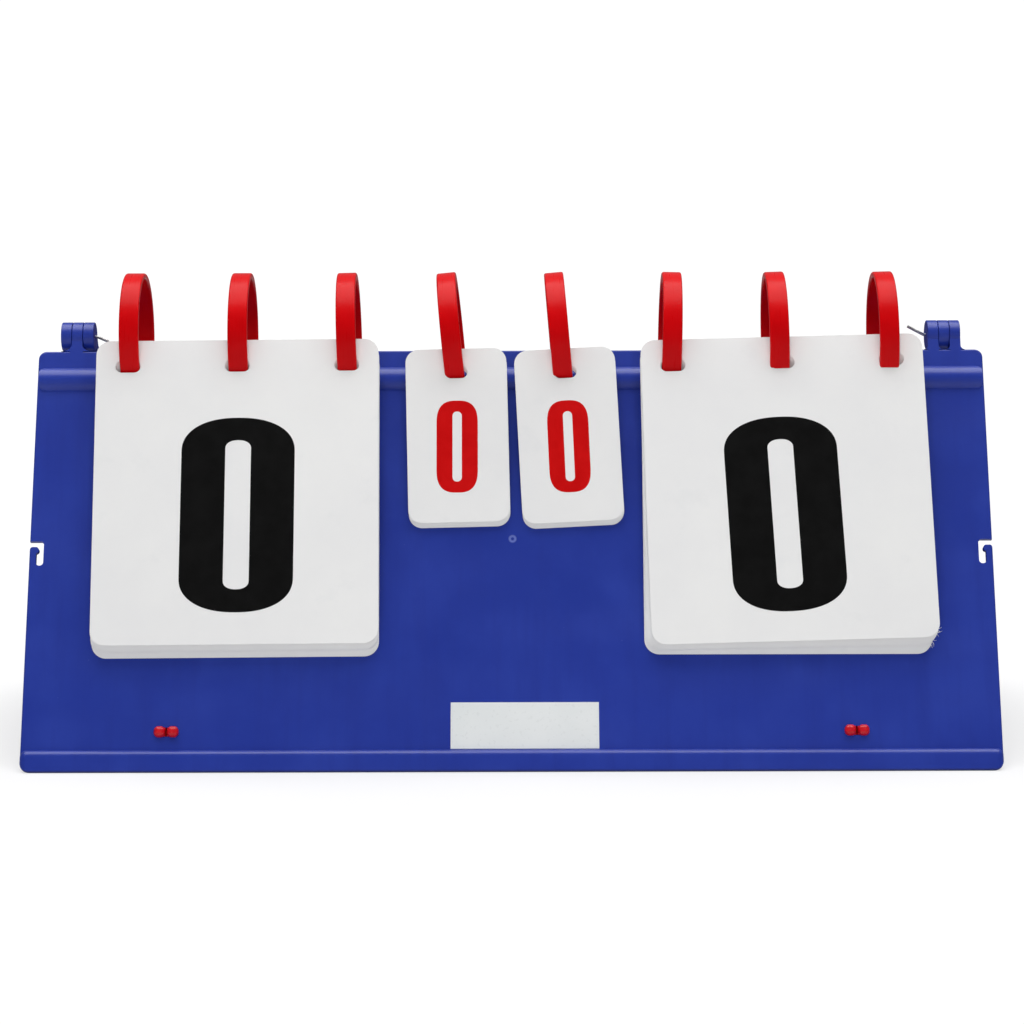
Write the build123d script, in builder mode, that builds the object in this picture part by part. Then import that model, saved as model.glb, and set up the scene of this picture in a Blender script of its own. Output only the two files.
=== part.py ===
"""Tabletop flip scoreboard: an A-frame of two hinged panels that carries numbered leaves on rings.

Frame: +X to the right, the front faces -Y, +Z up. The origin is the middle of the footprint on the
table. Panel coordinates: "down" is the distance down the slope from the hinge axis, "out" is the
distance outward from the plane through that axis. Leaf coordinates are the same, on the deck's lean.
"""
from build123d import *
from math import acos, atan2, cos, degrees, radians, sin, sqrt
import os

# Panels: two mouldings alike but for the top edge, one of them turned half a turn about Z
panel_width = 390.0
panel_lean = 26.0  # degrees from vertical, each panel, standing open
front_top_edge = 8.1  # down
rear_top_edge = 10.6  # down
foot_reach = 186.0  # down, at the foremost corner of the foot
folded_gap = 0.8  # between the two rims when the board is folded shut
rim_depth = 2.0
rim_width = 3.0
plate_wall = 2.5
top_corner_radius = 3.3
foot_corner_radius = 4.4
foot_edge_radius = 0.8
plate_edge_radius = 0.8

# Raised bands across each panel, hollow behind
band_rise = 3.0
band_wall = 2.0
ridge_top = 15.5  # down
ridge_height = 10.0
ridge_inset = 0.9
lip_height = 9.8  # up the slope from the foot
lip_inset = 0.15
lip_crown_radius = 2.7
band_end_radius = 2.6

# Hinges: three knuckles each on a bent wire pin
hinge_inset = 15.6  # from a side edge to the middle of a hinge
knuckle_radius = 6.0
knuckle_width = 4.4
knuckle_edge_radius = 0.35
knuckle_gap = 0.15
pin_radius = 0.6
pin_clearance = 0.05
pin_bend_radius = 1.2
pin_bend_lead = 0.9  # from the knuckles' end to the corner of the bend
pin_end_stand_out = 0.4
left_tail_length = 5.0
left_tail_angle = -24.0
right_tail_length = 7.6
right_tail_angle = 27.5
pair_flare = 1.6  # across, where a paired knuckle's web meets the top edge
pair_flare_start = 6.5  # down
single_flare = 4.2
single_flare_start = 5.1
gusset_width = 5.6
gusset_point_width = 1.6
gusset_rise = 0.5
gusset_draft = 45.0  # degrees, of its sides over the plate

# Rings
ring_outer_radius = 27.1
ring_thickness = 2.4
ring_width = 8.0
ring_edge_radius = 0.7
ring_side_play = 2.5  # in a panel slot
ring_radial_play = 0.8  # in a panel slot
lap_angle = 10.0  # length of the ring's snap lap, degrees
lap_slit = 0.25
lap_place = 250.0  # degrees from the front, over the top

# Leaves
leaf_thickness = 0.2
leaf_pitch = 0.23
leaf_hole_side_play = 1.25
leaf_hole_height = 5.2
moving_leaf_gap = 0.3  # behind each deck's front leaf, and under its rear leaf's foot
score_leaf_count = 22  # 0 to 21
score_leaves_apart = 10  # leaves with a node of their own, from the front
score_hole_margin = 13.0  # from a side edge of the leaf to the middle of its outer hole
score_leaf_drop = 115.6  # from the hole's centre down to the leaf's foot
score_leaf_head = 10.8  # from the hole's centre up to the leaf's head
score_leaf_corner = 6.0
score_front_stand_off = 18.8  # from the hinge axis to the front leaf's face
score_deck_inset = 83.5  # from a side edge to the middle of the deck
set_leaf_count = 8  # 0 to 7
set_leaf_width = 41.2
set_leaf_drop = 62.2
set_leaf_head = 9.7
set_leaf_corner = 4.8
set_front_stand_off = 17.5
set_deck_spread = 22.3  # from the middle of the board to the middle of the deck
deck_gap = 11.0  # between a points deck and a games deck

# Side hook slots, one at each side edge
hook_entry_down = 89.8
hook_entry_height = 2.35
hook_tongue = 2.7
hook_leg_width = 3.05
hook_leg_height = 10.15  # from the entry's upper edge to the leg's lower end
hook_nose = 1.1  # of the tongue, into the leg
hook_nose_radius = 1.3
hook_corner_radius = 1.4
hook_relief = 3.0  # of the rim round a hook slot

# Stay straps and the split plugs that hold them
stay_inset = 57.8  # from a side edge
stay_above_foot = 17.3  # up the slope
stay_width = 14.0
stay_thickness = 0.9
stay_tail = 6.0  # strap beyond the plug's centre
stay_bend_lead = 11.0  # from the plug's centre up to the strap's bend
stay_bend_radius = 9.0
stay_seat_gap = 0.05
plug_hole_width = 8.4
plug_hole_height = 3.8
plug_hole_corner = 1.2
plug_clearance = 0.15
plug_split = 0.7
plug_flange_width = 13.0
plug_flange_height = 8.0
plug_lobe_radius = 2.25
plug_lobe_width = 4.6
plug_lobe_lift = 0.2  # between the plate and the lobes
plug_crown_share = 0.85  # of the lobe radius

# Name label and the moulding gate mark
label_width = 59.0
label_height = 18.8
label_thickness = 0.15
label_shift = 5.3
label_gap = 0.4  # above the lip
gate_shift = 0.6
gate_down = 89.2
gate_recess_radius = 1.4
gate_recess_depth = 0.3
gate_nub_radius = 0.6

# Derived heights above the plane through the hinge axis
rim_back = folded_gap / 2
plate_back = rim_back + rim_depth
plate_face = plate_back + plate_wall
band_face = plate_face + band_rise
axis_height = foot_reach * cos(radians(panel_lean)) - band_face * sin(radians(panel_lean))
ridge_bottom = ridge_top + ridge_height
ring_inner_radius = ring_outer_radius - ring_thickness
ring_mean_radius = ring_outer_radius - ring_thickness / 2
knuckle_pitch = knuckle_width + knuckle_gap
below_ground = foot_reach + band_face

# Derived places on the panels
lip_top = foot_reach - lip_height
hinge_spread = panel_width / 2 - hinge_inset
stay_spread = panel_width / 2 - stay_inset
stay_down = foot_reach - stay_above_foot
stay_bend_down = stay_down - stay_bend_lead
score_deck_spread = panel_width / 2 - score_deck_inset
score_leaf_width = 2 * (score_deck_spread - set_deck_spread - deck_gap) - set_leaf_width
ring_pitch = score_leaf_width / 2 - score_hole_margin
score_ring_places = [score_deck_spread + step * ring_pitch for step in (-1, 0, 1)]
ring_places = [side * place for side in (-1, 1) for place in [set_deck_spread] + score_ring_places]


def slope(lean=panel_lean, across=0, out=0):
    """Plane at a height out from the hinge axis: x along the board, y up the slope."""
    tilt = radians(lean)
    face = Plane(origin=(across, 0, axis_height), x_dir=(1, 0, 0), z_dir=(0, -cos(tilt), sin(tilt)))
    return face.offset(out)


def section(across):
    """Plane across the board at one place: x down the panel's slope, y outward."""
    tilt = radians(panel_lean)
    return Plane(origin=(across, 0, axis_height), x_dir=(0, -sin(tilt), -cos(tilt)), z_dir=(-1, 0, 0))


outward = Axis(slope().origin, slope().z_dir)
finished = []


def keep(part, name):
    """Label a finished piece and put it on the list of nodes."""
    part.label = name
    finished.append(part)


def ridge():
    """The hollow stiffening ridge across the plate, with an arched face."""
    middle = (ridge_top + ridge_bottom) / 2
    length = panel_width - 2 * ridge_inset
    with BuildPart() as band:
        with BuildSketch(section(0)):
            with BuildLine():
                Polyline((ridge_top, plate_face), (ridge_top, plate_back), (ridge_bottom, plate_back),
                         (ridge_bottom, plate_face))
                ThreePointArc((ridge_bottom, plate_face), (middle, band_face), (ridge_top, plate_face))
            make_face()
        extrude(amount=length / 2, both=True)
        with BuildSketch(slope()):
            with Locations((0, -middle)):
                RectangleRounded(length, ridge_height, band_end_radius)
        extrude(amount=band_face, mode=Mode.INTERSECT)
    return band.part


def lip():
    """The raised lip along the foot, with rounded upper corners and a rounded crown."""
    with BuildPart() as band:
        with BuildSketch(slope(out=plate_back)):
            with Locations((0, -(lip_top + below_ground) / 2)):
                RectangleRounded(panel_width - 2 * lip_inset, below_ground - lip_top, band_end_radius)
        extrude(amount=band_face - plate_back)
        fillet(band.faces().sort_by(outward)[-1].edges(), lip_crown_radius)
    return band.part


def knuckle_arm(across, edge, flare, flare_start):
    """The web between a knuckle and the plate's top edge, with a hollow flare at each side."""
    flare_down = edge - flare_start
    with BuildPart() as arm:
        with BuildSketch(slope(across=across, out=rim_back)):
            with Locations((0, -(edge + rim_width) / 2)):
                Rectangle(knuckle_width, edge + rim_width)
            with Locations((0, -(flare_start + edge) / 2)):
                Rectangle(knuckle_width + 2 * flare, flare_down)
            with Locations(*[(side * (knuckle_width / 2 + flare), -flare_start) for side in (-1, 1)]):
                Ellipse(flare, flare_down, mode=Mode.SUBTRACT)
        extrude(amount=plate_face - rim_back)
    return arm.part


def gusset(across, edge):
    """The raised web from a single knuckle to its point on the plate's face."""
    side = knuckle_width / 2
    with BuildPart() as web:
        with BuildSketch(slope(across=across, out=plate_face)):
            with BuildLine():
                Polyline((0, 0), (side, 0), (side, -knuckle_radius), (gusset_width / 2, -edge),
                         (gusset_point_width / 2, -ridge_top), (0, -ridge_top))
                mirror(about=Plane.YZ)
            make_face()
        extrude(amount=gusset_rise, taper=gusset_draft)
    return web.part


def knuckle(across):
    """One hinge knuckle with rounded edges, before its bore."""
    with BuildPart() as barrel:
        with BuildSketch(Plane.YZ.offset(across)):
            with Locations((0, axis_height)):
                Circle(knuckle_radius)
        extrude(amount=knuckle_width / 2, both=True)
        fillet(barrel.edges().filter_by(GeomType.CIRCLE), knuckle_edge_radius)
    return barrel.part


def knuckle_places(spread, count):
    """Places along the board of one hinge's knuckles: the single one or the outer pair."""
    return [spread] if count == 1 else [spread - knuckle_pitch, spread + knuckle_pitch]


def hook_slot(side):
    """Sketch of one J-shaped hook slot, open to the side edge (side is -1 or 1)."""
    edge = side * panel_width / 2
    leg_middle = edge - side * (hook_tongue + hook_leg_width / 2)
    entry_low = hook_entry_down + hook_entry_height
    tongue_ends = (hook_nose_radius, hook_tongue + hook_nose - hook_nose_radius)
    with Locations(((edge + leg_middle) / 2, -(hook_entry_down + hook_entry_height / 2))):
        Rectangle(abs(edge - leg_middle), hook_entry_height)
    with Locations((leg_middle, -(hook_entry_down + hook_leg_height / 2))):
        RectangleRounded(hook_leg_width, hook_leg_height, hook_corner_radius)
    with Locations((edge, -entry_low)):
        Rectangle(2 * hook_nose_radius, 2 * hook_nose_radius)
    with Locations(*[(edge - side * end, -(entry_low + hook_nose_radius)) for end in tongue_ends]):
        Circle(hook_nose_radius, mode=Mode.SUBTRACT)


def ring_slot_limits():
    """How far down the slope a ring crosses the ridge and the plate, with its play."""
    upper = sqrt(ring_inner_radius**2 - band_face**2) - ring_radial_play
    lower = sqrt(ring_outer_radius**2 - plate_back**2) + ring_radial_play
    return upper, lower


def panel(edge):
    """One panel moulding, in the front panel's place, with its top edge so far down."""
    slot_top, slot_bottom = ring_slot_limits()
    ring_slot_width = ring_width + 2 * ring_side_play
    rim_foot = foot_reach - band_face * sin(radians(panel_lean)) / cos(radians(panel_lean))
    pocket_height = rim_foot - edge - 2 * rim_width
    with BuildPart() as moulding:
        with BuildSketch(slope(out=rim_back)) as outline:
            with Locations((0, -(edge + below_ground) / 2)):
                Rectangle(panel_width, below_ground - edge)
            fillet(outline.vertices().group_by(Axis.Y)[-1], top_corner_radius)
        extrude(amount=plate_face - rim_back)
        fillet(moulding.faces().sort_by(outward)[-1].edges(), plate_edge_radius)
        with BuildSketch(slope(out=rim_back)):
            with Locations((0, -(edge + rim_width + pocket_height / 2))):
                Rectangle(panel_width - 2 * rim_width, pocket_height)
            with Locations((0, -(hook_entry_down + hook_leg_height / 2))):
                Rectangle(panel_width, hook_leg_height + 2 * hook_relief)
        extrude(amount=rim_depth, mode=Mode.SUBTRACT)
        add(ridge())
        add(lip())
        with BuildSketch(slope(out=plate_back)):
            with Locations((0, -(ridge_top + ridge_bottom) / 2)):
                Rectangle(panel_width - 2 * (rim_width + band_wall), ridge_height - 2 * band_wall)
        extrude(amount=band_rise, mode=Mode.SUBTRACT)
        add(gusset(-hinge_spread, edge))
        for across in knuckle_places(-hinge_spread, 1):
            add(knuckle_arm(across, edge, single_flare, single_flare_start))
            add(knuckle(across))
        for across in knuckle_places(hinge_spread, 2):
            add(knuckle_arm(across, edge, pair_flare, pair_flare_start))
            add(knuckle(across))
        with BuildSketch(Plane.YZ):
            with Locations((0, axis_height)):
                Circle(pin_radius + pin_clearance)
        extrude(amount=panel_width / 2, both=True, mode=Mode.SUBTRACT)
        with BuildSketch(slope()):
            for across in ring_places:
                with Locations((across, -(slot_top + slot_bottom) / 2)):
                    SlotOverall(ring_slot_width, slot_bottom - slot_top)
            for side in (-1, 1):
                hook_slot(side)
                with Locations((side * stay_spread, -stay_down)):
                    RectangleRounded(plug_hole_width, plug_hole_height, plug_hole_corner)
        extrude(amount=band_face, mode=Mode.SUBTRACT)
        with BuildSketch(slope(out=plate_face)):
            with Locations((gate_shift, -gate_down)):
                Circle(gate_recess_radius)
                Circle(gate_nub_radius, mode=Mode.SUBTRACT)
        extrude(amount=-gate_recess_depth, mode=Mode.SUBTRACT)
        with BuildSketch(Plane.XZ) as standing:
            with Locations((0, foot_reach / 2)):
                Rectangle(panel_width, foot_reach)
            fillet(standing.vertices().group_by(Axis.Z)[0], foot_corner_radius)
        extrude(amount=foot_reach, both=True, mode=Mode.INTERSECT)
        fillet(moulding.edges().filter_by(Axis.X).group_by(Axis.Z)[0].sort_by(Axis.Y)[0], foot_edge_radius)
    return moulding.part


def pin(side, tail_length, tail_angle):
    """A hinge's wire pin, straight through the knuckles, with its inner end bent (side is -1 or 1)."""
    half_hinge = knuckle_pitch + knuckle_width / 2
    outer_end = side * (hinge_spread + half_hinge + pin_end_stand_out)
    bend = side * (hinge_spread - half_hinge - pin_bend_lead)
    tail_across = bend - side * tail_length * cos(radians(tail_angle))
    tail_height = axis_height + tail_length * sin(radians(tail_angle))
    with BuildPart() as wire:
        with BuildLine() as route:
            FilletPolyline(
                (outer_end, 0, axis_height),
                (bend, 0, axis_height),
                (tail_across, 0, tail_height),
                radius=pin_bend_radius,
            )
        with BuildSketch(Plane(origin=route.wire() @ 0, z_dir=route.wire() % 0)):
            Circle(pin_radius)
        sweep()
    return wire.part


def ring(across):
    """One split ring round the hinge axis, closed by a snap lap."""
    slit_turn = 180 - lap_place
    with BuildPart() as band:
        with BuildSketch(Plane.YZ.offset(across)):
            with Locations((0, axis_height)):
                Circle(ring_outer_radius)
                Circle(ring_inner_radius, mode=Mode.SUBTRACT)
        extrude(amount=ring_width / 2, both=True)
        fillet(band.edges().filter_by(GeomType.CIRCLE), ring_edge_radius)
        with BuildSketch(Plane.YZ.offset(across)):
            with Locations((0, axis_height)):
                with PolarLocations(ring_outer_radius, 1, slit_turn):
                    Rectangle(ring_thickness, lap_slit)
                with PolarLocations(ring_inner_radius, 1, slit_turn + lap_angle):
                    Rectangle(ring_thickness, lap_slit)
            with BuildLine():
                CenterArc((0, axis_height), ring_mean_radius, slit_turn, lap_angle)
            trace(line_width=lap_slit)
        extrude(amount=ring_width, both=True, mode=Mode.SUBTRACT)
    return band.part


def leaf_back(stand_off, index):
    """Distance from the hinge axis to the back of a deck's leaf, counted from the front."""
    front_back = stand_off - leaf_thickness
    if index == 0:
        return front_back
    return front_back - moving_leaf_gap - leaf_thickness - (index - 1) * leaf_pitch


def hole_down(back):
    """How far down its own plane a leaf hangs on the ring's middle line."""
    return sqrt(ring_mean_radius**2 - (back + leaf_thickness / 2) ** 2)


def deck_lean(stand_off, count, drop):
    """Lean of a deck whose rear leaf rests its foot on the plate's face."""
    back = leaf_back(stand_off, count - 1)
    foot = hole_down(back) + drop
    reach = sqrt(back**2 + foot**2)
    off_panel = acos((plate_face + moving_leaf_gap) / reach) - atan2(foot, back)
    return panel_lean - degrees(off_panel)


def leaves(across, holes, stand_off, count, width, head, drop, corner, first, last):
    """The leaves of one deck from first to last, each a plate with a hole for every ring."""
    lean = deck_lean(stand_off, count, drop)
    hole_width = ring_width + 2 * leaf_hole_side_play
    with BuildPart() as stack:
        for index in range(first, last + 1):
            back = leaf_back(stand_off, index)
            hang = hole_down(back)
            with BuildSketch(slope(lean, across, back)):
                with Locations((0, -hang - (drop - head) / 2)):
                    RectangleRounded(width, drop + head, corner)
                with Locations(*[(hole, -hang) for hole in holes]):
                    SlotOverall(hole_width, leaf_hole_height, mode=Mode.SUBTRACT)
            extrude(amount=leaf_thickness)
    return stack.part


def score_leaves(across, first, last):
    """Leaves of a large points deck, on three rings."""
    holes = (-ring_pitch, 0, ring_pitch)
    return leaves(across, holes, score_front_stand_off, score_leaf_count, score_leaf_width,
                  score_leaf_head, score_leaf_drop, score_leaf_corner, first, last)


def set_leaves(across, first, last):
    """Leaves of a small games deck, on one ring."""
    return leaves(across, (0,), set_front_stand_off, set_leaf_count, set_leaf_width,
                  set_leaf_head, set_leaf_drop, set_leaf_corner, first, last)


def on_slope(down, out):
    """Point (y, z) across the board for a place on the front panel's slope."""
    tilt = radians(panel_lean)
    return -(down * sin(tilt) + out * cos(tilt)), axis_height - down * cos(tilt) + out * sin(tilt)


def stay_strap(side):
    """A flexible strap between the panels' backs, turned up along each of them (side is -1 or 1)."""
    middle = plate_back - stay_seat_gap - stay_thickness / 2
    end_y, end_z = on_slope(stay_down + stay_tail, middle)
    bend_y, bend_z = on_slope(stay_bend_down, middle)
    with BuildPart() as strap:
        with BuildSketch(Plane.YZ.offset(side * stay_spread)):
            with BuildLine():
                FilletPolyline(
                    (end_y, end_z), (bend_y, bend_z), (-bend_y, bend_z), (-end_y, end_z),
                    radius=stay_bend_radius,
                )
            trace(line_width=stay_thickness)
        extrude(amount=stay_width / 2, both=True)
        with BuildSketch(slope(across=side * stay_spread)):
            with Locations((0, -stay_down)):
                RectangleRounded(plug_hole_width, plug_hole_height, plug_hole_corner)
        extrude(amount=plate_back, mode=Mode.SUBTRACT)
        mirror(about=Plane.XZ, mode=Mode.INTERSECT)
    return strap.part


def plug(side):
    """A split plug through the front panel: a flange behind the strap and two lobes outside."""
    flange_top = plate_back - stay_thickness - 2 * stay_seat_gap
    flange_bottom = rim_back + plug_clearance
    lobe_foot = plate_face + plug_lobe_lift
    lobe_middle = (plug_split + plug_lobe_width) / 2
    across = side * stay_spread
    with BuildPart() as rivet:
        with BuildSketch(slope(across=across, out=flange_bottom)):
            with Locations((0, -stay_down)):
                RectangleRounded(plug_flange_width, plug_flange_height, plug_hole_corner)
        extrude(amount=flange_top - flange_bottom)
        with BuildSketch(slope(across=across, out=flange_bottom)):
            with Locations((0, -stay_down)):
                RectangleRounded(
                    plug_hole_width - 2 * plug_clearance,
                    plug_hole_height - 2 * plug_clearance,
                    plug_hole_corner - plug_clearance,
                )
        extrude(amount=lobe_foot - flange_bottom)
        with BuildSketch(slope(across=across, out=flange_top)):
            with Locations((0, -stay_down)):
                Rectangle(plug_split, plug_flange_height)
        extrude(amount=band_face, mode=Mode.SUBTRACT)
        with BuildSketch(slope(across=across, out=lobe_foot)):
            with Locations((-lobe_middle, -stay_down), (lobe_middle, -stay_down)):
                RectangleRounded(plug_lobe_width, 2 * plug_lobe_radius, plug_lobe_radius * plug_crown_share)
        extrude(amount=plug_lobe_radius)
        crowns = rivet.faces().filter_by(outward).sort_by(outward)[-2:]
        fillet(crowns.edges(), plug_lobe_radius * plug_crown_share)
    return rivet.part


def name_label():
    """The blank sticker on the front panel, just above the lip."""
    with BuildPart() as sticker:
        with BuildSketch(slope(out=plate_face)):
            with Locations((label_shift, -(lip_top - label_gap - label_height / 2))):
                Rectangle(label_width, label_height)
        extrude(amount=label_thickness)
    return sticker.part


def build_panels():
    keep(panel(front_top_edge), "front_panel")
    keep(panel(rear_top_edge).rotate(Axis.Z, 180), "rear_panel")
    keep(pin(-1, left_tail_length, left_tail_angle), "left_hinge_pin")
    keep(pin(1, right_tail_length, right_tail_angle), "right_hinge_pin")
    keep(name_label(), "name_label")


def build_stays():
    for side, name in ((-1, "left"), (1, "right")):
        keep(stay_strap(side), f"{name}_stay_strap")
        keep(plug(side), f"{name}_front_stay_plug")
        keep(plug(-side).rotate(Axis.Z, 180), f"{name}_rear_stay_plug")


def build_deck(side_name, across, ring_names, deck_leaves, count, apart, kind):
    """The rings and the leaves of one deck, front leaf first."""
    for index, ring_name in enumerate(ring_names):
        keep(ring(across + (index - (len(ring_names) - 1) / 2) * ring_pitch), ring_name)
    for index in range(apart):
        keep(deck_leaves(across, index, index), f"{side_name}_{kind}_leaf_{index:02d}")
    if apart < count:
        keep(deck_leaves(across, apart, count - 1), f"{side_name}_{kind}_leaves_rear")


def build_decks():
    for side, name in ((-1, "left"), (1, "right")):
        score_rings = [f"{name}_score_ring_{place}" for place in ("a", "b", "c")]
        score_across = side * score_deck_spread
        set_across = side * set_deck_spread
        build_deck(name, score_across, score_rings, score_leaves, score_leaf_count,
                   score_leaves_apart, "score")
        build_deck(name, set_across, [f"{name}_set_ring"], set_leaves, set_leaf_count,
                   set_leaf_count, "set")


build_panels()
build_stays()
build_decks()
os.makedirs("parts", exist_ok=True)
for piece in finished:
    export_step(piece, f"parts/{piece.label}.step")
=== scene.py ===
"""Looks of the tabletop flip scoreboard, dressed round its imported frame.

Lengths below are in millimetres unless a name says otherwise. A place on a leaning plane is given
as across (+X), down (the slope, from the hinge axis) and out (from the plane through that axis).
"""
import math

import bmesh
import bpy
from mathutils import Matrix, Vector


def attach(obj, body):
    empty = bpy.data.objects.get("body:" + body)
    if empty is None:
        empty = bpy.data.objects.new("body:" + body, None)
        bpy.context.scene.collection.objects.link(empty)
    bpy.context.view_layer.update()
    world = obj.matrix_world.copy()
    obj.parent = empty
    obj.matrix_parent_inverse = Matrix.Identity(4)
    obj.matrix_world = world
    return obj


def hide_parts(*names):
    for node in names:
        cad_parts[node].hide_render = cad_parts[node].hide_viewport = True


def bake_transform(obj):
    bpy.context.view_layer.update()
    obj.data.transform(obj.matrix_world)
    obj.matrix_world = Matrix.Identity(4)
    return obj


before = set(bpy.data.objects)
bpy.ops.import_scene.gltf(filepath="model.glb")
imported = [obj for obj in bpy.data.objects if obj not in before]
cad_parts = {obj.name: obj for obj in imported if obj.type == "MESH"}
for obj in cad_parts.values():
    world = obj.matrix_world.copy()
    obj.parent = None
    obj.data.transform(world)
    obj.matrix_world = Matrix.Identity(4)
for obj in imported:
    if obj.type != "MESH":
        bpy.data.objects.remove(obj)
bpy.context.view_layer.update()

MM = 0.001
SAME_POINT = 1e-4  # two outline points closer than this are one
WELD = 1e-5  # and two vertices closer than this

# Panels
AXIS_HEIGHT = 163.7126
PANEL_LEAN = 26.0
PLATE_FACE = 4.9
GATE_ACROSS = 0.6
GATE_DOWN = 89.2

# Camera
AIM = (0.4, 0.0, 89.4)
CAMERA_DISTANCE = 1184.0
CAMERA_ELEVATION = 9.5
CAMERA_ROLL = -0.15
FOCAL_PIXELS = 2817.0
PHOTO_PIXELS = 1024.0
SENSOR = 36.0

# Stage: plain white that only the camera sees, the floor's own tone and where it turns white (metres)
WHITE_STRENGTH = 1.05
FLOOR_HALF = 6.0
FLOOR_COLOUR = (0.55, 0.55, 0.56, 1)
FLOOR_LIFT = 0.33
FLOOR_WHITE_FROM = 0.12
FLOOR_WHITE_TO = 0.34

# Studio light: strength all round, and what is added above (from, to, strength) and behind
WORLD_BASE = 0.15
WORLD_ABOVE = (0.5, 0.95, 0.15)
WORLD_BEHIND = (0.0, 0.6, 0.10)

# Lamps in metres and watts: place, size, power, and whether gloss mirrors them
LAMP_TARGET = (0.0, 0.0, 0.1)
LAMPS = {
    "overhead": ((0.0, 0.08, 1.20), (1.8, 1.0), 18.5, True),
    "front_fill": ((0.0, -2.0, 0.60), (1.4, 0.7), 14.5, False),
}

# Rings
RING_PITCH = 44.6
RING_OUTER = 27.1
RING_INNER = 24.7
RING_MEAN = 25.9
RING_WIDTH = 8.0
RING_EDGE = 0.8
LAP_START = 250.0
LAP_LENGTH = 10.0
LAP_SLIT = 0.2
LAP_EDGE = 0.3
RING_STEPS = 140
LAP_STEPS = 6
RING_SAG = 0.97  # height over the axis, as a share of a true circle's

# Each ring as it happens to stand: body, place across, lean and yaw in degrees
RINGS = {
    "left_score_ring_a": ("left_score_rings", -155.4, 0.0, 0.0),
    "left_score_ring_b": ("left_score_rings", -111.2, 0.0, 0.0),
    "left_score_ring_c": ("left_score_rings", -67.1, -1.4, 0.3),
    "left_set_ring": ("left_set_ring", -24.2, -5.5, 0.0),
    "right_set_ring": ("right_set_ring", 20.1, -5.0, 0.0),
    "right_score_ring_a": ("right_score_rings", 66.3, 1.0, -0.9),
    "right_score_ring_b": ("right_score_rings", 109.9, -1.8, -0.8),
    "right_score_ring_c": ("right_score_rings", 154.7, -1.5, -0.9),
}

# Leaves
LEAF_THICKNESS = 0.2
LEAF_PITCH = 0.23
FRONT_LEAF_GAP = 0.3
HOLE_HEIGHT = 5.2
HOLE_FLAT = 0.01  # half the straight left in a hole's rounded end
PRINT_LIFT = 0.012
PRINT_THICKNESS = 0.02
COUNTER_POWER = 2.2
UNEVEN_ACROSS = 0.22
UNEVEN_LIFT = 0.25
UNEVEN_TURN = 0.06
UNEVEN_STEP = 12.9898
UNEVEN_PHASE = 78.233

SCORE = {
    "count": 22, "apart": 10, "width": 115.2, "drop": 115.6, "head": 10.8, "corner": 6.0,
    "front": 18.8, "lean": 22.5531, "holes": (-RING_PITCH, 0.0, RING_PITCH), "hole_width": 10.2,
    "digit_width": 45.9, "digit_top": 39.8, "digit_height": 80.5, "stroke_x": 17.75,
    "stroke_y": 9.4, "cap": 14.1, "cap_power": 2.25, "counter_cap": 3.4, "print": "black_print",
}
SETS = {
    "count": 8, "apart": 8, "width": 41.2, "drop": 62.2, "head": 9.7, "corner": 5.5,
    "front": 17.5, "lean": 19.0015, "holes": (0.0,), "hole_width": 9.3,
    "digit_width": 16.8, "digit_top": 31.1, "digit_height": 38.1, "stroke_x": 6.5,
    "stroke_y": 4.55, "cap": 10.1, "cap_power": 2.8, "counter_cap": 2.0, "print": "red_print",
}

# Each deck as it happens to hang: kind, place across, the front and the rear leaf's turns in
# degrees, and its lift
DECKS = {
    "left_score": (SCORE, -2.5 * RING_PITCH, (0.4, 0.4), 0.0),
    "right_score": (SCORE, 2.5 * RING_PITCH - 0.7, (1.45, 0.0), 0.8),
    "left_set": (SETS, -0.5 * RING_PITCH, (1.3, 1.3), 0.0),
    "right_set": (SETS, 0.5 * RING_PITCH, (2.9, 2.9), 0.0),
}

# Each deck's print on its leaf: across, up and turn in degrees, from where it should be
PRINT_OFF = {
    "left_score": (0.6, -0.2, -0.35),
    "right_score": (-1.9, -1.1, 1.3),
    "left_set": (-0.25, 0.0, -1.25),
    "right_set": (-0.25, 0.0, -0.6),
}

# Stay straps
STAY_SPREAD = 137.2
STAY_DOWN = 168.7
STAY_TAIL = 6.0
STAY_BEND_DOWN = 157.7
STAY_BEND_RADIUS = 9.0
STAY_WIDTH = 14.0
STAY_THICKNESS = 0.9
STAY_MIDDLE_OUT = 1.9
STAY_EDGE = 0.3
STAY_ARC_STEPS = 12
STAY_END_STEPS = 3
STAY_MIDDLE_STEPS = 20
STAY_HANDOVER = 0.22  # how far along an end's own bend the middle takes over

# Cut fibres on the right points deck: leaf, angle round its corner, length and bend in degrees
BURRS = (
    (2, -8, 1.3, 30), (2, -14, 0.9, -35), (3, -18, 1.6, 25), (4, -24, 1.1, -30), (5, -16, 1.2, 40),
    (8, -38, 1.0, 30), (9, -42, 1.9, -35), (11, -36, 1.2, -50), (12, -45, 1.4, -20), (14, -40, 0.9, -45),
)
BURR_ROOT = 0.5
BURR_RADIUS = 0.1
BURR_TAPER = 0.6
BURR_RISE = 0.15
BURR_STEPS = 4


def place(across, down, out, lean):
    """Point in the row frame, in metres, for a place on a leaning plane."""
    tilt = math.radians(lean)
    y = -(down * math.sin(tilt) + out * math.cos(tilt))
    z = AXIS_HEIGHT - down * math.cos(tilt) + out * math.sin(tilt)
    return Vector((across, y, z)) * MM


def plane_matrix(across, down, out, lean, turn=0.0):
    """Takes (right, up the slope, outward) in millimetres to the row frame, turned in its plane."""
    tilt = math.radians(lean)
    axes = Matrix((
        (1, 0, 0),
        (0, math.sin(tilt), -math.cos(tilt)),
        (0, math.cos(tilt), math.sin(tilt)),
    )).to_4x4()
    spin = Matrix.Rotation(math.radians(turn), 4, "Z")
    return Matrix.Translation(place(across, down, out, lean)) @ axes @ spin @ Matrix.Scale(MM, 4)


# ---------------------------------------------------------------- materials

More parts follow.
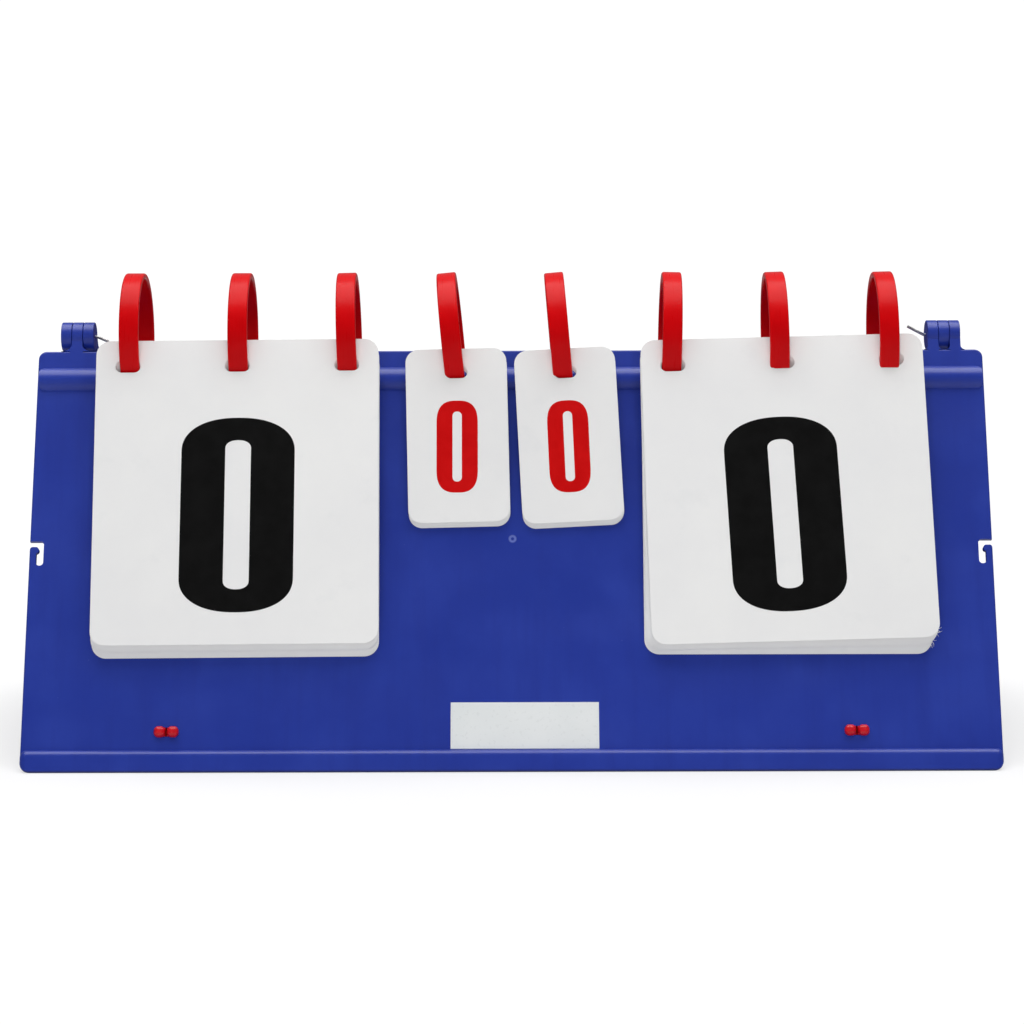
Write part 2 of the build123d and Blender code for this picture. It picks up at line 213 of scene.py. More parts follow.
def srgb(red, green, blue):
    """Linear colour for 8-bit sRGB values."""
    def linear(value):
        value /= 255
        return value / 12.92 if value <= 0.04045 else ((value + 0.055) / 1.055) ** 2.4
    return (linear(red), linear(green), linear(blue), 1.0)


class Nodes:
    """A material's node tree with short ways to add and join nodes."""

    def __init__(self, name):
        self.material = bpy.data.materials.new(name)
        self.material.use_nodes = True
        self.tree = self.material.node_tree
        self.shader = self.tree.nodes["Principled BSDF"]
        self.where = self.tree.nodes.new("ShaderNodeTexCoord").outputs["Object"]

    def add(self, kind, **inputs):
        """A new node with its named inputs set or joined."""
        node = self.tree.nodes.new(kind)
        for name, value in inputs.items():
            self.feed(node.inputs[name.replace("_", " ")], value)
        return node

    def feed(self, socket, value):
        """Join an output to an input, or set the input to a constant."""
        if isinstance(value, bpy.types.NodeSocket):
            self.tree.links.new(value, socket)
        else:
            socket.default_value = value

    def noise(self, scale, detail=2.0, rough=0.5, stretch=None):
        """Noise in the object's own metres, finer along an axis that is stretched by more than 1."""
        where = self.where
        if stretch:
            mapping = self.add("ShaderNodeMapping", Vector=where, Scale=stretch)
            where = mapping.outputs["Vector"]
        node = self.add("ShaderNodeTexNoise", Vector=where, Scale=scale, Detail=detail, Roughness=rough)
        return node.outputs["Fac"]

    def span(self, value, low, high, to_low, to_high):
        """A value's range from low to high, spread over another range and held at its ends."""
        node = self.add("ShaderNodeMapRange", Value=value)
        for index, number in enumerate((low, high, to_low, to_high), start=1):
            node.inputs[index].default_value = number
        return node.outputs["Result"]

    def mix(self, factor, first, second):
        """The first colour turning into the second as the factor climbs to 1."""
        node = self.tree.nodes.new("ShaderNodeMix")
        node.data_type = "RGBA"
        self.feed(node.inputs[0], factor)
        self.feed(node.inputs[6], first)
        self.feed(node.inputs[7], second)
        return node.outputs[2]

    def math(self, operation, first, second):
        """Two values put through one operation."""
        node = self.tree.nodes.new("ShaderNodeMath")
        node.operation = operation
        self.feed(node.inputs[0], first)
        self.feed(node.inputs[1], second)
        return node.outputs[0]

    def tones(self, value, first, second, low=0.35, high=0.65):
        """Two 8-bit sRGB colours mixed by a value that climbs from low to high."""
        return self.mix(self.span(value, low, high, 0.0, 1.0), srgb(*first), srgb(*second))

    def bump(self, height, distance, normal=None):
        """A normal tilted by a height that is worth so many metres."""
        node = self.add("ShaderNodeBump", Height=height, Distance=distance, Strength=1.0)
        if normal is not None:
            self.feed(node.inputs["Normal"], normal)
        return node.outputs["Normal"]

    def finish(self, colour, roughness, normal):
        """Feed the shader and give the finished material."""
        self.feed(self.shader.inputs["Base Color"], colour)
        self.feed(self.shader.inputs["Roughness"], roughness)
        self.feed(self.shader.inputs["Normal"], normal)
        return self.material


def panel_material():
    """Satin blue moulded plastic: flow marks, fine grain, dust, a pale gate ring and painted shade along
    the foot's lower edge.
    """
    nodes = Nodes("panel_blue_plastic")
    flow = nodes.noise(9.0, 3.0, 0.55, stretch=(0.5, 1.0, 1.6))
    cloud = nodes.noise(34.0, 4.0, 0.6)
    grain = nodes.noise(2600.0, 1.0)
    colour = nodes.tones(flow, (26, 49, 146), (31, 53, 152))
    colour = nodes.mix(nodes.span(cloud, 0.42, 0.70, 0.0, 0.55), colour, srgb(41, 64, 164))
    streaks = nodes.noise(70.0, 3.0, 0.6, stretch=(2.0, 0.2, 0.2))
    colour = nodes.mix(nodes.span(streaks, 0.48, 0.70, 0.0, 0.45), colour, srgb(26, 45, 138))
    specks = nodes.add("ShaderNodeTexVoronoi", Vector=nodes.where, Scale=170.0)
    dust = nodes.span(specks.outputs["Distance"], 0.02, 0.05, 1.0, 0.0)
    rare = nodes.span(nodes.noise(60.0), 0.62, 0.70, 0.0, 0.55)
    colour = nodes.mix(nodes.math("MULTIPLY", dust, rare), colour, srgb(120, 132, 205))
    away = nodes.add("ShaderNodeVectorMath")
    away.operation = "DISTANCE"
    nodes.feed(away.inputs[0], nodes.where)
    away.inputs[1].default_value = place(GATE_ACROSS, GATE_DOWN, PLATE_FACE, PANEL_LEAN)
    inner = nodes.span(away.outputs["Value"], 0.0005, 0.0009, 0.0, 0.75)
    outer = nodes.span(away.outputs["Value"], 0.0013, 0.0018, 1.0, 0.0)
    colour = nodes.mix(nodes.math("MULTIPLY", inner, outer), colour, srgb(126, 142, 212))
    # Painted shade: the colour darkens to deep navy over the last 1.4 mm above the floor, standing in
    # for the contact shadow under the foot.
    height = nodes.add("ShaderNodeSeparateXYZ", Vector=nodes.where).outputs["Z"]
    colour = nodes.mix(nodes.span(height, 0.0004, 0.0014, 0.6, 0.0), colour, srgb(12, 14, 56))
    rubbed = nodes.noise(60.0, 3.0, 0.6, stretch=(0.25, 1.0, 1.0))
    facing = nodes.add("ShaderNodeNewGeometry").outputs["Normal"]
    sideways = nodes.add("ShaderNodeSeparateXYZ", Vector=facing).outputs["X"]
    sideways = nodes.span(nodes.math("MULTIPLY", sideways, sideways), 0.5, 0.9, 0.0, 0.45)
    roughness = nodes.math("ADD", nodes.span(rubbed, 0.3, 0.7, 0.28, 0.36), sideways)
    normal = nodes.bump(grain, 0.000012, normal=nodes.bump(cloud, 0.00010))
    return nodes.finish(colour, roughness, normal)


def ring_material():
    """Glossy red plastic strip with faint drawn lines round the ring."""
    nodes = Nodes("ring_red_plastic")
    lines = nodes.noise(420.0, 2.0, 0.6, stretch=(6.0, 0.25, 0.25))
    cloud = nodes.noise(70.0, 3.0)
    nodes.shader.inputs["Specular IOR Level"].default_value = 0.12
    nodes.shader.inputs["Subsurface Weight"].default_value = 0.3
    nodes.shader.inputs["Subsurface Radius"].default_value = (0.003, 0.0004, 0.0004)
    nodes.shader.inputs["Subsurface Scale"].default_value = 1.0
    roughness = nodes.span(lines, 0.3, 0.7, 0.27, 0.31)
    return nodes.finish(nodes.tones(cloud, (200, 1, 7), (207, 3, 10)), roughness,
                        nodes.bump(lines, 0.0000018))


def plug_material():
    """Bright red soft-moulded plastic."""
    nodes = Nodes("plug_red_plastic")
    cloud = nodes.noise(220.0, 3.0)
    roughness = nodes.span(cloud, 0.3, 0.7, 0.28, 0.34)
    return nodes.finish(nodes.tones(cloud, (196, 8, 24), (206, 12, 30)), roughness,
                        nodes.bump(cloud, 0.000006))


def strap_material():
    """Flexible red plastic with a fine woven-looking embossing."""
    nodes = Nodes("strap_red_plastic")
    wave = nodes.add("ShaderNodeTexWave", Vector=nodes.where, Scale=160.0, Distortion=0.4)
    cloud = nodes.noise(60.0, 3.0)
    colour = nodes.tones(cloud, (180, 8, 18), (200, 14, 26), low=0.3, high=0.7)
    roughness = nodes.span(cloud, 0.3, 0.7, 0.42, 0.55)
    return nodes.finish(colour, roughness, nodes.bump(wave.outputs["Fac"], 0.00006))


def leaf_material():
    """White matt plastic sheet with a very faint pebble, handling marks and a cooler tone in places."""
    nodes = Nodes("leaf_white_sheet")
    cloud = nodes.noise(22.0, 4.0, 0.6)
    pebble = nodes.noise(1900.0, 2.0)
    smudge = nodes.noise(55.0, 5.0, 0.65)
    colour = nodes.tones(cloud, (236, 236, 236), (240, 240, 239))
    colour = nodes.mix(nodes.span(smudge, 0.60, 0.80, 0.0, 0.45), colour, srgb(226, 227, 228))
    roughness = nodes.span(smudge, 0.3, 0.7, 0.48, 0.60)
    return nodes.finish(colour, roughness, nodes.bump(pebble, 0.000008))


def print_material(name, dark, light):
    """Screen print: a thin flat ink film with a slightly uneven density."""
    nodes = Nodes(name)
    cloud = nodes.noise(120.0, 4.0, 0.6)
    film = nodes.noise(1500.0, 2.0)
    nodes.shader.inputs["Specular IOR Level"].default_value = 0.04
    roughness = nodes.span(film, 0.3, 0.7, 0.50, 0.62)
    return nodes.finish(nodes.tones(cloud, dark, light), roughness, nodes.bump(film, 0.000006))


def wire_material():
    """Bright drawn steel wire with fine lines along it and a few dull spots."""
    nodes = Nodes("pin_steel_wire")
    lines = nodes.noise(2500.0, 2.0, 0.5, stretch=(0.08, 1.0, 1.0))
    dull = nodes.noise(500.0, 3.0)
    nodes.shader.inputs["Metallic"].default_value = 1.0
    colour = nodes.tones(dull, (206, 206, 208), (165, 163, 160), low=0.5, high=0.7)
    roughness = nodes.span(lines, 0.3, 0.7, 0.22, 0.40)
    return nodes.finish(colour, roughness, nodes.bump(lines, 0.00001))


def label_material():
    """White gloss vinyl sticker with a faint orange peel."""
    nodes = Nodes("label_white_vinyl")
    peel = nodes.noise(700.0, 2.0)
    cloud = nodes.noise(50.0, 3.0)
    roughness = nodes.span(peel, 0.3, 0.7, 0.26, 0.36)
    return nodes.finish(nodes.tones(cloud, (225, 229, 229), (231, 234, 234)), roughness,
                        nodes.bump(peel, 0.00001))


MATERIALS = {
    "panel": panel_material(),
    "ring": ring_material(),
    "plug": plug_material(),
    "strap": strap_material(),
    "leaf": leaf_material(),
    "black_print": print_material("print_black_ink", (15, 15, 15), (20, 20, 20)),
    "red_print": print_material("print_red_ink", (198, 13, 14), (206, 18, 19)),
    "wire": wire_material(),
    "label": label_material(),
}


# ---------------------------------------------------------------- mesh building

def finish_piece(name, mesh, material, body):
    """Link a finished mesh as a piece that rides on a body."""
    mesh.materials.clear()
    mesh.materials.append(MATERIALS[material])
    piece = bpy.data.objects.new(name, mesh)
    bpy.context.scene.collection.objects.link(piece)
    if body:
        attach(piece, body)
    return piece


def mesh_of(work, name, matrix=None):
    """A mesh from finished mesh work, which it frees, moved by a matrix."""
    mesh = bpy.data.meshes.new(name)
    work.to_mesh(mesh)
    work.free()
    if matrix:
        mesh.transform(matrix)
    return mesh


def skin_rows(work, rows, smooth):
    """A closed bar's sides and ends from rows of vertices that each go once round it."""
    count = len(rows[0])
    for low, high in zip(rows, rows[1:]):
        for index in range(count):
            after = (index + 1) % count
            work.faces.new((low[index], low[after], high[after], high[index])).smooth = smooth
    work.faces.new(list(reversed(rows[0])))
    work.faces.new(rows[-1])


def superellipse_corner(centre, reach_x, reach_y, power, start, steps):
    """Points of a quarter of a superellipse, anticlockwise from the given quarter."""
    points = []
    for index in range(steps + 1):
        angle = math.radians(90 * index / steps + start)
        cosine, sine = math.cos(angle), math.sin(angle)
        x = math.copysign(abs(cosine) ** (2 / power), cosine) * reach_x
        y = math.copysign(abs(sine) ** (2 / power), sine) * reach_y
        points.append((centre[0] + x, centre[1] + y))
    return points


def capped_outline(width, low, high, reach_x, reach_y, power=2.0, across=0.0, steps=14):
    """A box outline whose corners are quarters of a superellipse, anticlockwise."""
    right, left = across + width / 2 - reach_x, across - width / 2 + reach_x
    top, bottom = high - reach_y, low + reach_y
    corners = ((right, top, 0), (left, top, 90), (left, bottom, 180), (right, bottom, 270))
    points = []
    for x, y, start in corners:
        points += superellipse_corner((x, y), reach_x, reach_y, power, start, steps)
    cleaned = []
    for point in points:
        if not cleaned or math.dist(point, cleaned[-1]) > SAME_POINT:
            cleaned.append(point)
    if math.dist(cleaned[0], cleaned[-1]) < SAME_POINT:
        cleaned.pop()
    return cleaned


def plate_mesh(name, outlines, thickness, matrix):
    """A flat plate cut from closed outlines, its middle plane on the matrix's plane."""
    curve = bpy.data.curves.new(name, "CURVE")
    curve.dimensions = "2D"
    curve.fill_mode = "BOTH"
    curve.extrude = thickness / 2
    for outline in outlines:
        spline = curve.splines.new("POLY")
        spline.points.add(len(outline) - 1)
        for point, (x, y) in zip(spline.points, outline):
            point.co = (x, y, 0.0, 1.0)
        spline.use_cyclic_u = True
    drawn = bpy.data.objects.new(name, curve)
    mesh = bpy.data.meshes.new_from_object(drawn)
    bpy.data.objects.remove(drawn)
    bpy.data.curves.remove(curve)
    work = bmesh.new()
    work.from_mesh(mesh)
    bmesh.ops.remove_doubles(work, verts=work.verts, dist=WELD)
    bmesh.ops.recalc_face_normals(work, faces=work.faces)
    bpy.data.meshes.remove(mesh)
    return mesh_of(work, name, matrix)


def join_meshes(name, meshes):
    """One mesh from several."""
    work = bmesh.new()
    for mesh in meshes:
        work.from_mesh(mesh)
        bpy.data.meshes.remove(mesh)
    return mesh_of(work, name)


# ---------------------------------------------------------------- leaves

def leaf_back(deck, index):
    """Height of a leaf's back over the deck's plane."""
    front_back = deck["front"] - LEAF_THICKNESS
    if index == 0:
        return front_back
    return front_back - FRONT_LEAF_GAP - LEAF_THICKNESS - (index - 1) * LEAF_PITCH


def uneven(index, phase):
    """A fixed number from -1 to 1 for each leaf, so that a stack's edges don't line up."""
    return math.sin(UNEVEN_STEP * index + UNEVEN_PHASE * phase) if index else 0.0


def hang(deck, index):
    """A leaf's middle plane over the deck's plane, and how far down it its hole meets the ring."""
    middle = leaf_back(deck, index) + LEAF_THICKNESS / 2
    return middle, math.sqrt(RING_MEAN**2 - middle**2)


def leaf_turn(deck, turns, index):
    """A leaf's turn in degrees, between the front leaf's and the rear leaf's."""
    return turns[0] + (turns[1] - turns[0]) * index / (deck["count"] - 1)


def leaf_matrix(deck, across, index, turn, lift=0.0):
    """Plane through a leaf's middle, origin at its hole's centre, turned by so many degrees."""
    middle, down = hang(deck, index)
    return plane_matrix(across, down - lift, middle, deck["lean"], turn)


def leaf_outlines(deck, index):
    """A leaf's edge, a little off its place, and its holes, all in line with the ring."""
    shift, lift = UNEVEN_ACROSS * uneven(index, 2), UNEVEN_LIFT * uneven(index, 3)
    edge = capped_outline(deck["width"], lift - deck["drop"], lift + deck["head"], deck["corner"],
                          deck["corner"], across=shift)
    half = HOLE_HEIGHT / 2
    cap = half - HOLE_FLAT
    holes = [
        capped_outline(deck["hole_width"], -half, half, cap, cap, across=across, steps=8)
        for across in deck["holes"]
    ]
    return [edge] + holes


def digit_ends(deck):
    """A numeral's foot and top over the leaf's holes; digit_top is measured from the hinge axis."""
    high = hang(deck, 0)[1] - deck["digit_top"]
    return high - deck["digit_height"], high


def zero_outlines(deck):
    """The numeral 0."""
    low, high = digit_ends(deck)
    width = deck["digit_width"]
    outer = capped_outline(width, low, high, width / 2, deck["cap"], deck["cap_power"], steps=24)
    counter_width = width - 2 * deck["stroke_x"]
    counter = capped_outline(counter_width, low + deck["stroke_y"], high - deck["stroke_y"],
                             counter_width / 2, deck["counter_cap"], COUNTER_POWER, steps=16)
    return [outer, counter]


def one_outlines(deck):
    """The numeral 1 with a flag, as tall as the 0."""
    low, high = digit_ends(deck)
    stem = deck["stroke_x"]
    return [[
        (stem * 0.55, low),
        (stem * 0.55, high),
        (-stem * 0.1, high),
        (-stem * 0.95, high - stem * 0.75),
        (-stem * 0.95, high - stem * 1.45),
        (-stem * 0.45, high - stem * 1.2),
        (-stem * 0.45, low),
    ]]


def print_matrix(deck, name, matrix):
    """A leaf's plane, shifted and turned as the deck's print is about its own middle."""
    across, up, turn = PRINT_OFF[name]
    low, high = digit_ends(deck)
    middle = (low + high) / 2
    spin = Matrix.Rotation(math.radians(turn), 4, "Z")
    shift = Matrix.Translation((across, middle + up, 0.0))
    return matrix @ shift @ spin @ Matrix.Translation((0.0, -middle, 0.0))


def print_numeral(name, deck, outlines, matrix, body, back=False):
    """Ink on a leaf's front, or on its back for a reader on the other side."""
    lift = LEAF_THICKNESS / 2 + PRINT_LIFT
    flip = Matrix.Rotation(math.pi, 4, "Y") if back else Matrix.Identity(4)
    mesh = plate_mesh(name, outlines, PRINT_THICKNESS, matrix @ flip @ Matrix.Translation((0, 0, lift)))
    return finish_piece(name, mesh, deck["print"], body)


def build_deck(name):
    """All the leaves of one deck and the prints that can show."""
    deck, across, turns, lift = DECKS[name]
    body = f"{name}_front_leaf"
    rear = []
    for index in range(deck["count"]):
        turn = leaf_turn(deck, turns, index) + UNEVEN_TURN * uneven(index, 1)
        matrix = leaf_matrix(deck, across, index, turn, lift)
        node = f"{name}_leaf_{index:02d}"
        mesh = plate_mesh(f"{node}_sheet", leaf_outlines(deck, index), LEAF_THICKNESS, matrix)
        if index >= deck["apart"]:
            rear.append(mesh)
            continue
        piece = finish_piece(f"{node}_sheet", mesh, "leaf",
                             "front_frame" if index else body)
        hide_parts(node)
        matrix = print_matrix(deck, name, matrix)
        if index == 0:
            print_numeral(f"{name}_zero", deck, zero_outlines(deck), matrix, body)
            print_numeral(f"{name}_back_one", deck, one_outlines(deck), matrix, body, back=True)
        if index == 1:
            print_numeral(f"{name}_one", deck, one_outlines(deck), matrix, "front_frame")
    if rear:
        node = f"{name}_leaves_rear"
        mesh = join_meshes(f"{node}_sheets", rear)
        piece = finish_piece(f"{node}_sheets", mesh, "leaf", "front_frame")
        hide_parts(node)


def build_burrs(name):
    """Fine cut fibres left on the lower outer corner of a deck's waiting leaves."""
    deck, across, turns, _ = DECKS[name]
    work = bmesh.new()
    corner = deck["corner"]
    for number, (leaf, angle, length, bend) in enumerate(BURRS, start=1):
        matrix = leaf_matrix(deck, across, leaf, leaf_turn(deck, turns, leaf))
        start = math.radians(angle)
        root = Vector((
            deck["width"] / 2 - corner + (corner - BURR_ROOT) * math.cos(start),
            -deck["drop"] + corner + (corner - BURR_ROOT) * math.sin(start), 0.0))
        rise = BURR_RISE * uneven(number, 4)
        rows = []
        for step in range(BURR_STEPS + 1):
            along = step / BURR_STEPS
            way = start + math.radians(bend) * along
            reach = (length + BURR_ROOT) * along
            middle = root + Vector((math.cos(way), math.sin(way), rise)) * reach
            radius = BURR_RADIUS * (1 - BURR_TAPER * along)
            side = Vector((-math.sin(way), math.cos(way), 0.0)) * radius
            lift = Vector((0.0, 0.0, radius))
            ring = (middle + side - lift / 2, middle - side - lift / 2, middle + lift)
            rows.append([work.verts.new(matrix @ point) for point in ring])
        skin_rows(work, rows, smooth=False)
    bmesh.ops.recalc_face_normals(work, faces=work.faces)
    mesh = mesh_of(work, f"{name}_burrs")
    finish_piece(f"{name}_burrs", mesh, "leaf", "front_frame")


# ---------------------------------------------------------------- rings

def strip_profile(inner, outer, corner, steps=5):
    """Cross-section of a ring, as (radius, across) points, anticlockwise."""
    middle = (inner + outer) / 2
    outline = capped_outline(RING_WIDTH, inner - middle, outer - middle, corner, corner, steps=steps)
    return [(middle + y, x) for x, y in outline]


def sweep_strip(work, profile, start, end, steps):
    """Sweep a ring's cross-section from one angle to another (degrees from the front, over the top)."""
    rows = []
    for index in range(steps + 1):
        angle = math.radians(start + (end - start) * index / steps)
        row = [work.verts.new((x, -r * math.cos(angle), r * math.sin(angle))) for r, x in profile]
        rows.append(row)
    skin_rows(work, rows, smooth=True)


def build_ring(node, body, across, lean, yaw):
    """A split ring with its snap lap; lean tips its top to the right, yaw turns it about Z."""
    work = bmesh.new()
    slit = math.degrees(LAP_SLIT / RING_MEAN)
    lap_end = LAP_START + LAP_LENGTH
    hoop = strip_profile(RING_INNER, RING_OUTER, RING_EDGE)
    sweep_strip(work, hoop, lap_end, LAP_START + 360, RING_STEPS)
    outer_tongue = strip_profile(RING_MEAN + LAP_SLIT / 2, RING_OUTER, LAP_EDGE)
    sweep_strip(work, outer_tongue, LAP_START, lap_end - slit, LAP_STEPS)
    inner_tongue = strip_profile(RING_INNER, RING_MEAN - LAP_SLIT / 2, LAP_EDGE)
    sweep_strip(work, inner_tongue, LAP_START + slit, lap_end, LAP_STEPS)
    for vert in work.verts:
        if vert.co.z > 0:
            vert.co.z *= RING_SAG
    bmesh.ops.recalc_face_normals(work, faces=work.faces)
    turn = Matrix.Rotation(math.radians(yaw), 4, "Z") @ Matrix.Rotation(math.radians(lean), 4, "Y")
    centre = Matrix.Translation(Vector((across, 0.0, AXIS_HEIGHT)) * MM)
    mesh = mesh_of(work, f"{node}_strip", centre @ turn @ Matrix.Scale(MM, 4))
    piece = finish_piece(f"{node}_strip", mesh, "ring", body)
    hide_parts(node)


# ---------------------------------------------------------------- straps

def arc_corner(before, corner, after, radius, steps):
    """Points of the arc that rounds a corner of a path in the (y, z) plane."""
    first = (before - corner).normalized()
    second = (after - corner).normalized()
    half = first.angle(second) / 2
    reach = radius / math.tan(half)
    start, end = corner + first * reach, corner + second * reach
    centre = corner + (first + second).normalized() * (radius / math.sin(half))
    swing = (start - centre).angle_signed(end - centre)
    points = []
    for index in range(steps + 1):
        angle = -swing * index / steps
        offset = start - centre
        turned = Vector((
            offset.x * math.cos(angle) - offset.y * math.sin(angle),
            offset.x * math.sin(angle) + offset.y * math.cos(angle),
        ))
        points.append(centre + turned)
    return points


def strap_paths(handover):
    """Middle lines of a stay strap's front end, middle and rear end, in (y, z)."""
    end = place(0, STAY_DOWN + STAY_TAIL, STAY_MIDDLE_OUT, PANEL_LEAN) / MM
    bend = place(0, STAY_BEND_DOWN, STAY_MIDDLE_OUT, PANEL_LEAN) / MM
    rear_bend = Vector((-bend.y, bend.z))
    arc = arc_corner(end.yz, bend.yz, rear_bend, STAY_BEND_RADIUS, STAY_ARC_STEPS)
    start = bend.yz.lerp(rear_bend, handover)
    stop = Vector((-start.x, start.y))
    lead_in = [arc[-1].lerp(start, index / STAY_END_STEPS) for index in range(1, STAY_END_STEPS + 1)]
    front = [end.yz] + arc + lead_in
    middle = [start.lerp(stop, index / STAY_MIDDLE_STEPS) for index in range(STAY_MIDDLE_STEPS + 1)]
    rear = [Vector((-point.x, point.y)) for point in reversed(front)]
    return front, middle, rear


def strap_mesh(name, path, sign):
    """One length of a stay strap along a path in (y, z)."""
    half = STAY_THICKNESS / 2
    profile = capped_outline(STAY_WIDTH, -half, half, STAY_EDGE, STAY_EDGE, steps=3)
    work = bmesh.new()
    rows = []
    for index, point in enumerate(path):
        along = (path[min(index + 1, len(path) - 1)] - path[max(index - 1, 0)]).normalized()
        normal = Vector((-along.y, along.x))
        rows.append([
            work.verts.new((sign * STAY_SPREAD + x, point.x + normal.x * t, point.y + normal.y * t))
            for x, t in profile
        ])
    skin_rows(work, rows, smooth=True)
    bmesh.ops.recalc_face_normals(work, faces=work.faces)
    return mesh_of(work, name, Matrix.Scale(MM, 4))


def build_strap(side, sign):
    """A stay strap in three lengths.

    Each length is swept along its own path and baked in place, on no body. The spans worked out for a
    smooth-step blend between bodies are not used.
    """
    reach = STAY_HANDOVER * (3 - 2 * STAY_HANDOVER)
    handover = STAY_HANDOVER * reach
    lead = STAY_HANDOVER * (1 - STAY_HANDOVER)
    spans = ((0.0, reach), (-lead, 1 + lead), (1 - reach, 1.0))
    for part, path, (start, end) in zip(("front", "middle", "rear"), strap_paths(handover), spans):
        name = f"{side}_stay_strap_{part}"
        piece = finish_piece(name, strap_mesh(name, path, sign), "strap", None)
        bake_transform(piece)
        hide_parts(f"{side}_stay_strap")


# ---------------------------------------------------------------- CAD nodes that stay

def dress_cad_nodes():
    """Give every CAD node that shows its material."""
    chosen = {"panel": "panel", "hinge_pin": "wire", "stay_plug": "plug", "name_label": "label"}
    for node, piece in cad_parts.items():
        for ending, material in chosen.items():
            if node.endswith(ending):
                piece.data.materials.clear()
                piece.data.materials.append(MATERIALS[material])


# ---------------------------------------------------------------- stage, light and camera

def white_to_camera(tree):
    """Factor that is 1 for camera and transmission rays."""
    path = tree.nodes.new("ShaderNodeLightPath")
    seen = tree.nodes.new("ShaderNodeMath")
    seen.operation = "MAXIMUM"
    tree.links.new(path.outputs["Is Camera Ray"], seen.inputs[0])
    tree.links.new(path.outputs["Is Transmission Ray"], seen.inputs[1])
    return seen.outputs[0]


def build_floor():
    """A wide pale floor that keeps the board's shadow and turns plain white away from it."""
    mesh = bpy.data.meshes.new("floor")
    corners = ((-1, -1), (1, -1), (1, 1), (-1, 1))
    mesh.from_pydata([(x * FLOOR_HALF, y * FLOOR_HALF, 0) for x, y in corners], [], [(0, 1, 2, 3)])
    floor = bpy.data.objects.new("floor", mesh)
    bpy.context.scene.collection.objects.link(floor)
    material = bpy.data.materials.new("floor_white")
    material.use_nodes = True
    tree = material.node_tree
    tree.nodes.clear()
    output = tree.nodes.new("ShaderNodeOutputMaterial")
    diffuse = tree.nodes.new("ShaderNodeBsdfDiffuse")
    diffuse.inputs["Color"].default_value = FLOOR_COLOUR
    white = tree.nodes.new("ShaderNodeEmission")
    white.inputs["Strength"].default_value = WHITE_STRENGTH
    lift = tree.nodes.new("ShaderNodeEmission")
    lifted = tree.nodes.new("ShaderNodeAddShader")
    tree.links.new(diffuse.outputs[0], lifted.inputs[0])
    tree.links.new(lift.outputs[0], lifted.inputs[1])
    where = tree.nodes.new("ShaderNodeNewGeometry")
    length = tree.nodes.new("ShaderNodeVectorMath")
    length.operation = "LENGTH"
    tree.links.new(where.outputs["Position"], length.inputs[0])
    far = tree.nodes.new("ShaderNodeMapRange")
    far.interpolation_type = "SMOOTHSTEP"
    far.inputs["From Min"].default_value = FLOOR_WHITE_FROM
    far.inputs["From Max"].default_value = FLOOR_WHITE_TO
    tree.links.new(length.outputs["Value"], far.inputs["Value"])
    seen = white_to_camera(tree)
    share = tree.nodes.new("ShaderNodeMath")
    share.operation = "MULTIPLY"
    share.inputs[1].default_value = FLOOR_LIFT
    tree.links.new(seen, share.inputs[0])
    tree.links.new(share.outputs[0], lift.inputs["Strength"])
    both = tree.nodes.new("ShaderNodeMath")
    both.operation = "MULTIPLY"
    tree.links.new(far.outputs["Result"], both.inputs[0])
    tree.links.new(seen, both.inputs[1])
    mixed = tree.nodes.new("ShaderNodeMixShader")
    tree.links.new(both.outputs[0], mixed.inputs[0])
    tree.links.new(lifted.outputs[0], mixed.inputs[1])
    tree.links.new(white.outputs[0], mixed.inputs[2])
    tree.links.new(mixed.outputs[0], output.inputs["Surface"])
    floor.data.materials.append(material)


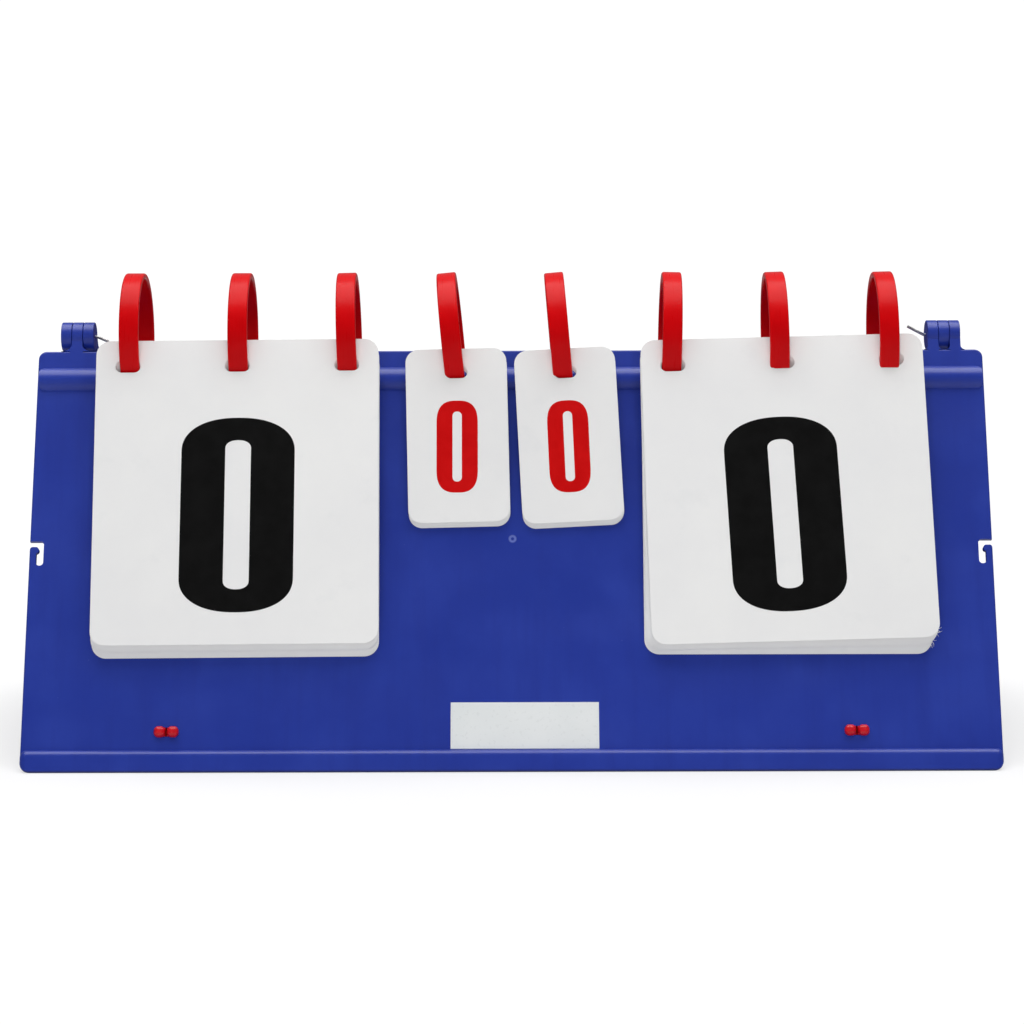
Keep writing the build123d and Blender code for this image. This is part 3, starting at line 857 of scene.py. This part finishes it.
def build_world():
    """A studio: white behind the board and above it, dim in front; plain white to the camera."""
    world = bpy.data.worlds.new("studio")
    world.use_nodes = True
    bpy.context.scene.world = world
    tree = world.node_tree
    tree.nodes.clear()
    output = tree.nodes.new("ShaderNodeOutputWorld")
    where = tree.nodes.new("ShaderNodeTexCoord")
    split = tree.nodes.new("ShaderNodeSeparateXYZ")
    tree.links.new(where.outputs["Generated"], split.inputs[0])

    def ramp(axis, start, end, strength):
        """Strength that comes in as a direction turns along an axis."""
        node = tree.nodes.new("ShaderNodeMapRange")
        node.interpolation_type = "SMOOTHSTEP"
        values = {"From Min": start, "From Max": end, "To Min": 0.0, "To Max": strength}
        for name, value in values.items():
            node.inputs[name].default_value = value
        tree.links.new(split.outputs[axis], node.inputs["Value"])
        return node.outputs["Result"]

    def total(first, second):
        """Two strengths added."""
        node = tree.nodes.new("ShaderNodeMath")
        tree.links.new(first, node.inputs[0])
        if isinstance(second, float):
            node.inputs[1].default_value = second
        else:
            tree.links.new(second, node.inputs[1])
        return node.outputs[0]

    light = tree.nodes.new("ShaderNodeBackground")
    light.inputs["Color"].default_value = (1, 1, 1, 1)
    strength = total(total(ramp("Z", *WORLD_ABOVE), ramp("Y", *WORLD_BEHIND)), WORLD_BASE)
    tree.links.new(strength, light.inputs["Strength"])
    white = tree.nodes.new("ShaderNodeBackground")
    white.inputs["Color"].default_value = (1, 1, 1, 1)
    white.inputs["Strength"].default_value = WHITE_STRENGTH
    seen = white_to_camera(tree)
    mixed = tree.nodes.new("ShaderNodeMixShader")
    tree.links.new(seen, mixed.inputs[0])
    tree.links.new(light.outputs[0], mixed.inputs[1])
    tree.links.new(white.outputs[0], mixed.inputs[2])
    tree.links.new(mixed.outputs[0], output.inputs["Surface"])


def add_softbox(name, spot, size, power, mirrored):
    """A soft lamp; one that isn't mirrored leaves no highlight."""
    lamp = bpy.data.lights.new(name, "AREA")
    lamp.shape = "RECTANGLE"
    lamp.size, lamp.size_y = size
    lamp.energy = power
    holder = bpy.data.objects.new(name, lamp)
    holder.location = spot
    aim = Vector(LAMP_TARGET) - Vector(spot)
    holder.rotation_euler = aim.to_track_quat("-Z", "Y").to_euler()
    holder.visible_glossy = mirrored
    bpy.context.scene.collection.objects.link(holder)


def build_camera():
    """A long lens a little above the board, aimed at its middle."""
    lens = bpy.data.cameras.new("camera")
    lens.sensor_width = SENSOR
    lens.lens = SENSOR * FOCAL_PIXELS / PHOTO_PIXELS
    lens.clip_start = 0.05
    camera = bpy.data.objects.new("camera", lens)
    lift = math.radians(CAMERA_ELEVATION)
    aim = Vector(AIM) * MM
    camera.location = aim + Vector((0, -math.cos(lift), math.sin(lift))) * CAMERA_DISTANCE * MM
    roll = Matrix.Rotation(math.radians(CAMERA_ROLL), 4, "Z")
    turn = Matrix.Rotation(math.radians(90 - CAMERA_ELEVATION), 4, "X")
    camera.rotation_euler = (turn @ roll).to_euler()
    bpy.context.scene.collection.objects.link(camera)
    bpy.context.scene.camera = camera


dress_cad_nodes()
for deck_name in DECKS:
    build_deck(deck_name)
build_burrs("right_score")
for ring_node, ring_facts in RINGS.items():
    build_ring(ring_node, *ring_facts)
build_strap("left", -1)
build_strap("right", 1)
build_floor()
build_world()
for lamp_name, lamp_facts in LAMPS.items():
    add_softbox(lamp_name, *lamp_facts)
build_camera()
bpy.context.scene.view_settings.view_transform = "Standard"
